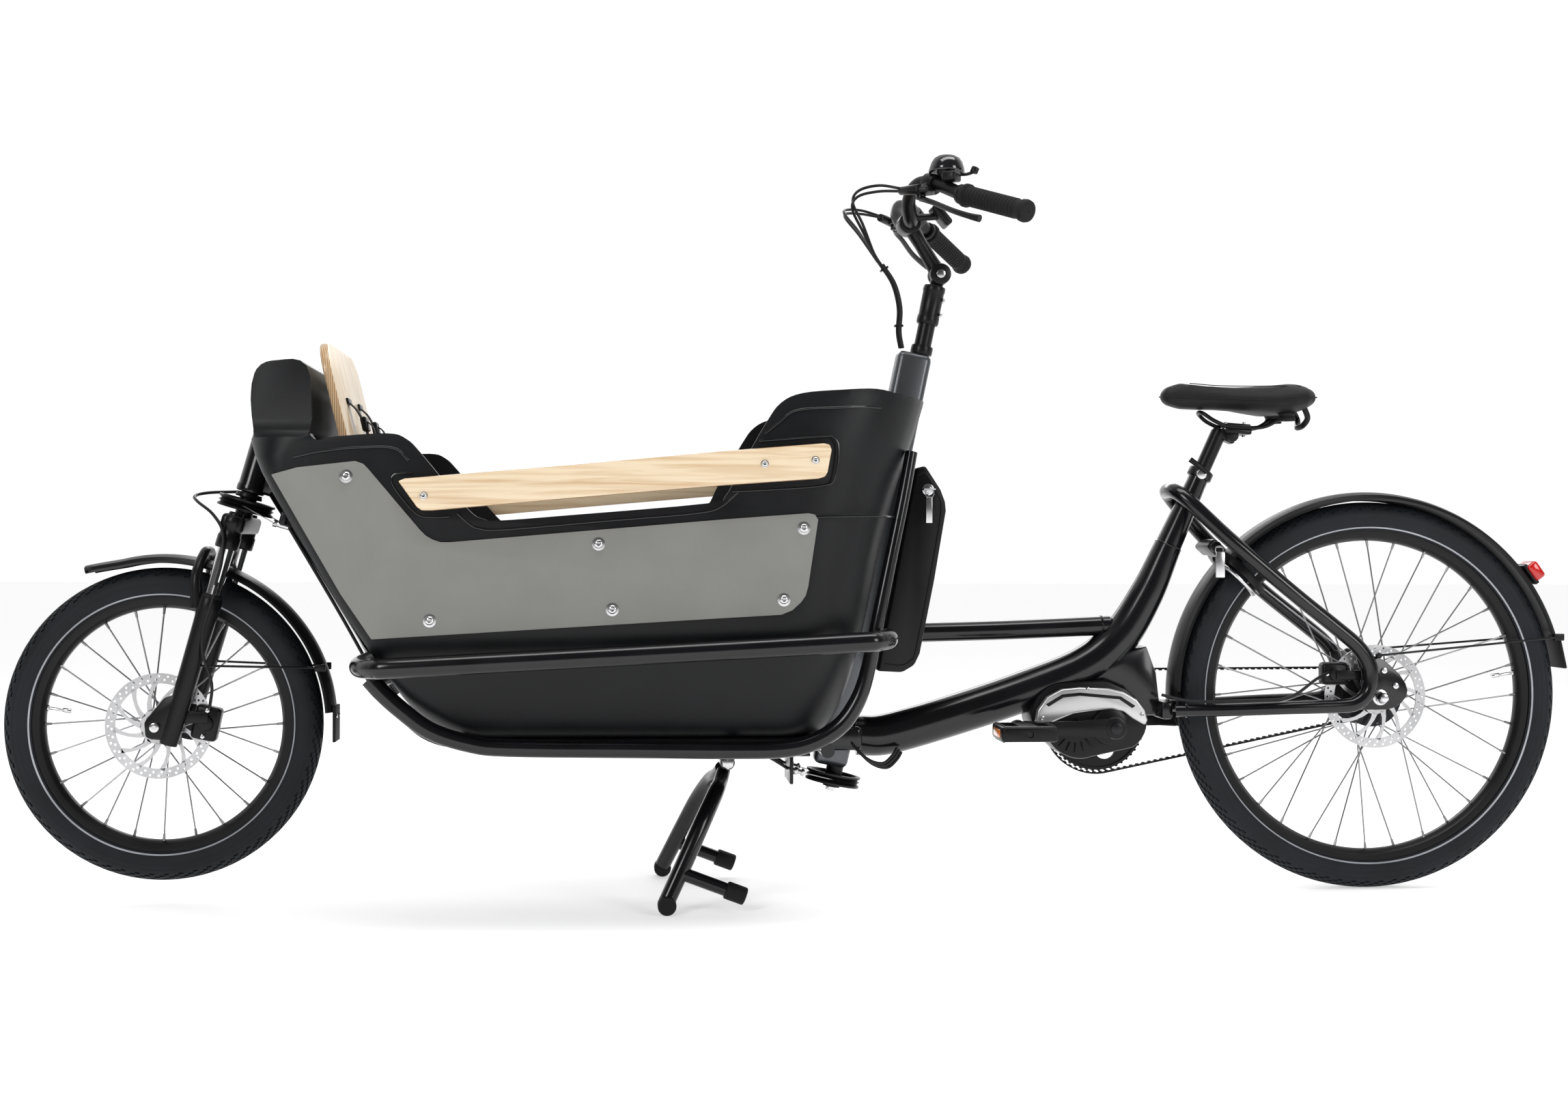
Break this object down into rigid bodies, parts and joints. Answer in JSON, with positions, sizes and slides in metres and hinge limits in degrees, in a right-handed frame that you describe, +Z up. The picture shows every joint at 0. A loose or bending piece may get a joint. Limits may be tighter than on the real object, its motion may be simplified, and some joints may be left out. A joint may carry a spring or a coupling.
{
  "type": "cargo bicycle",
  "caption": "Front-loading electric cargo bicycle with a moulded tub between the handlebar and a small front wheel, cable steering, belt drive and a centre stand.",
  "frame": {"origin": "middle of the bounding box in plan, at the floor the rear tyre and the stand's feet rest on", "axes": "+X to the rear of the bicycle, +Y to the side with the belt, +Z up"},
  "size_m": [2.6379, 0.7364, 1.225],
  "materials": {
    "frame_black": "satin gloss black paint",
    "tub_black": "fine-grained moulded black plastic",
    "panel_grey": "smooth mid-grey sheet",
    "birch": "clear-coated pale birch plywood",
    "tyre_black": "moulded black tyre rubber",
    "rubber_black": "matt black rubber",
    "black_plastic": "satin moulded black plastic",
    "bell_black": "glossy black",
    "black_metal": "satin black anodised look",
    "silver": "satin silver",
    "steel": "bright steel",
    "column_grey": "dark grey anodised",
    "leather": "black leather look with a fine grain",
    "red_lens": "clear red lens"
  },
  "bodies": {
    "frame": {"main_frame": "frame_black", "upper_tube": "frame_black", "seat_stay_loop": "frame_black", "chain_stay_left": "frame_black", "chain_stay_right": "frame_black", "front_head_tube": "frame_black", "cradle_hoop_left": "frame_black", "cradle_hoop_right": "frame_black", "guard_rail_left": "frame_black", "guard_rail_right": "frame_black", "stand_bracket": "frame_black", "tub": "tub_black", "side_panel_left": "panel_grey", "side_panel_right": "panel_grey", "wood_rail_left": "birch", "wood_rail_right": "birch", "backrest": "birch", "drive_belt": "rubber_black", "steering_cables": "rubber_black", "motor_casing": "black_plastic", "motor_cover": "silver", "rear_fender": "black_plastic", "frame_lock": "black_plastic", "steering_column": "column_grey", "rear_light": "red_lens"},
    "bench": {"bench_seat": "birch"},
    "battery_pack": {"battery": "black_plastic"},
    "battery_key_body": {"battery_key": "steel"},
    "rear_wheel_body": {"rear_tyre": "tyre_black", "rear_wheel": "black_metal", "rear_rotor": "steel"},
    "front_wheel_body": {"front_tyre": "tyre_black", "front_wheel": "black_metal", "front_rotor": "steel"},
    "fork_upper": {"fork_crown": "black_metal"},
    "fork_lower": {"fork_lowers": "black_metal", "front_fender": "black_plastic"},
    "steering": {"steering_shaft": "black_metal", "stem_lower": "black_metal", "handlebar": "black_metal", "grip_left": "rubber_black", "grip_right": "rubber_black", "bell": "bell_black", "control_cables": "rubber_black"},
    "brake_lever_left_body": {"brake_lever_left": "black_metal"},
    "brake_lever_right_body": {"brake_lever_right": "black_metal"},
    "bell_lever_body": {"bell_lever": "bell_black"},
    "crank": {"crank_left": "black_metal", "crank_right": "black_metal"},
    "pedal_left_body": {"pedal_left": "black_plastic"},
    "pedal_right_body": {"pedal_right": "black_plastic"},
    "rear_sprocket_body": {"rear_sprocket": "black_metal"},
    "seat": {"seat_post": "black_metal", "saddle": "leather"},
    "seat_clamp": {"seat_clamp_lever": "black_metal"},
    "stand": {"stand_leg_left": "frame_black", "stand_leg_right": "frame_black"},
    "lock_shackle_body": {"lock_shackle": "steel"}
  },
  "joints": [
    {"name": "rear_wheel_spin", "type": "hinge", "parent": "frame", "child": "rear_wheel_body", "pos_m": [0.9705, 0, 0.3325], "axis": [0, 1, 0], "continuous": true},
    {"name": "fork_steer", "type": "hinge", "parent": "frame", "child": "fork_upper", "pos_m": [-0.9285, 0, 0.66], "axis": [0.2756, 0, 0.9613], "range_deg": [-35, 35]},
    {"name": "fork_travel", "type": "slide", "parent": "fork_upper", "child": "fork_lower", "axis": [0.2756, 0, 0.9613], "range_m": [0, 0.04], "stiffness_N_per_m": 6000, "springref_m": -0.004},
    {"name": "front_wheel_spin", "type": "hinge", "parent": "fork_lower", "child": "front_wheel_body", "pos_m": [-1.0615, 0, 0.29], "axis": [0, 1, 0], "continuous": true},
    {"name": "handlebar_steer", "type": "hinge", "parent": "frame", "child": "steering", "pos_m": [0.1975, 0, 0.934], "axis": [0.2019, 0, 0.9794], "range_deg": [-36, 36]},
    {"name": "crank_spin", "type": "hinge", "parent": "frame", "child": "crank", "pos_m": [0.5085, 0, 0.284], "axis": [0, 1, 0], "continuous": true},
    {"name": "rear_sprocket_spin", "type": "hinge", "parent": "frame", "child": "rear_sprocket_body", "pos_m": [0.9705, 0, 0.3325], "axis": [0, 1, 0], "continuous": true},
    {"name": "pedal_left_spin", "type": "hinge", "parent": "crank", "child": "pedal_left_body", "pos_m": [0.3435, -0.153, 0.284], "axis": [0, 1, 0], "continuous": true},
    {"name": "pedal_right_spin", "type": "hinge", "parent": "crank", "child": "pedal_right_body", "pos_m": [0.6735, 0.153, 0.284], "axis": [0, 1, 0], "continuous": true},
    {"name": "stand_fold", "type": "hinge", "parent": "frame", "child": "stand", "pos_m": [-0.1355, 0, 0.225], "axis": [0, -1, 0], "range_deg": [0, 95]},
    {"name": "bench_fold", "type": "hinge", "parent": "frame", "child": "bench", "pos_m": [-0.6515, 0, 0.47], "axis": [0, -1, 0], "range_deg": [0, 75]},
    {"name": "battery_lift", "type": "slide", "parent": "frame", "child": "battery_pack", "axis": [0.2019, 0, 0.9794], "range_m": [0, 0.12]},
    {"name": "battery_key_turn", "type": "hinge", "parent": "battery_pack", "child": "battery_key_body", "pos_m": [0.1915, -0.1, 0.68], "axis": [0, -1, 0], "range_deg": [0, 90]},
    {"name": "brake_lever_left_pull", "type": "hinge", "parent": "steering", "child": "brake_lever_left_body", "pos_m": [0.1695, -0.156, 1.156], "axis": [0, 0, 1], "range_deg": [0, 12], "stiffness_Nm_per_rad": 2, "springref_deg": -2.86},
    {"name": "brake_lever_right_pull", "type": "hinge", "parent": "steering", "child": "brake_lever_right_body", "pos_m": [0.1695, 0.156, 1.156], "axis": [0, 0, -1], "range_deg": [0, 12], "stiffness_Nm_per_rad": 2, "springref_deg": -2.86},
    {"name": "bell_lever_flick", "type": "hinge", "parent": "steering", "child": "bell_lever_body", "pos_m": [0.2285, -0.152, 1.1915], "axis": [0, 0, 1], "range_deg": [0, 20], "stiffness_Nm_per_rad": 0.2, "springref_deg": -2.86},
    {"name": "seat_post_height", "type": "slide", "parent": "frame", "child": "seat", "axis": [0.4115, 0, 0.9114], "range_m": [-0.01, 0.05]},
    {"name": "seat_clamp_open", "type": "hinge", "parent": "frame", "child": "seat_clamp", "pos_m": [0.6815, 0, 0.72], "axis": [0.4115, 0, 0.9114], "range_deg": [-40, 0]},
    {"name": "lock_shackle_close", "type": "hinge", "parent": "frame", "child": "lock_shackle_body", "pos_m": [0.74084, 0, 0.54369], "axis": [0.6769, 0, 0.7361], "range_deg": [0, 80]}
  ],
  "couplings": [
    {"joint": "handlebar_steer", "follows": "fork_steer", "ratio": 1},
    {"joint": "rear_sprocket_spin", "follows": "crank_spin", "ratio": 2.0833}
  ]
}
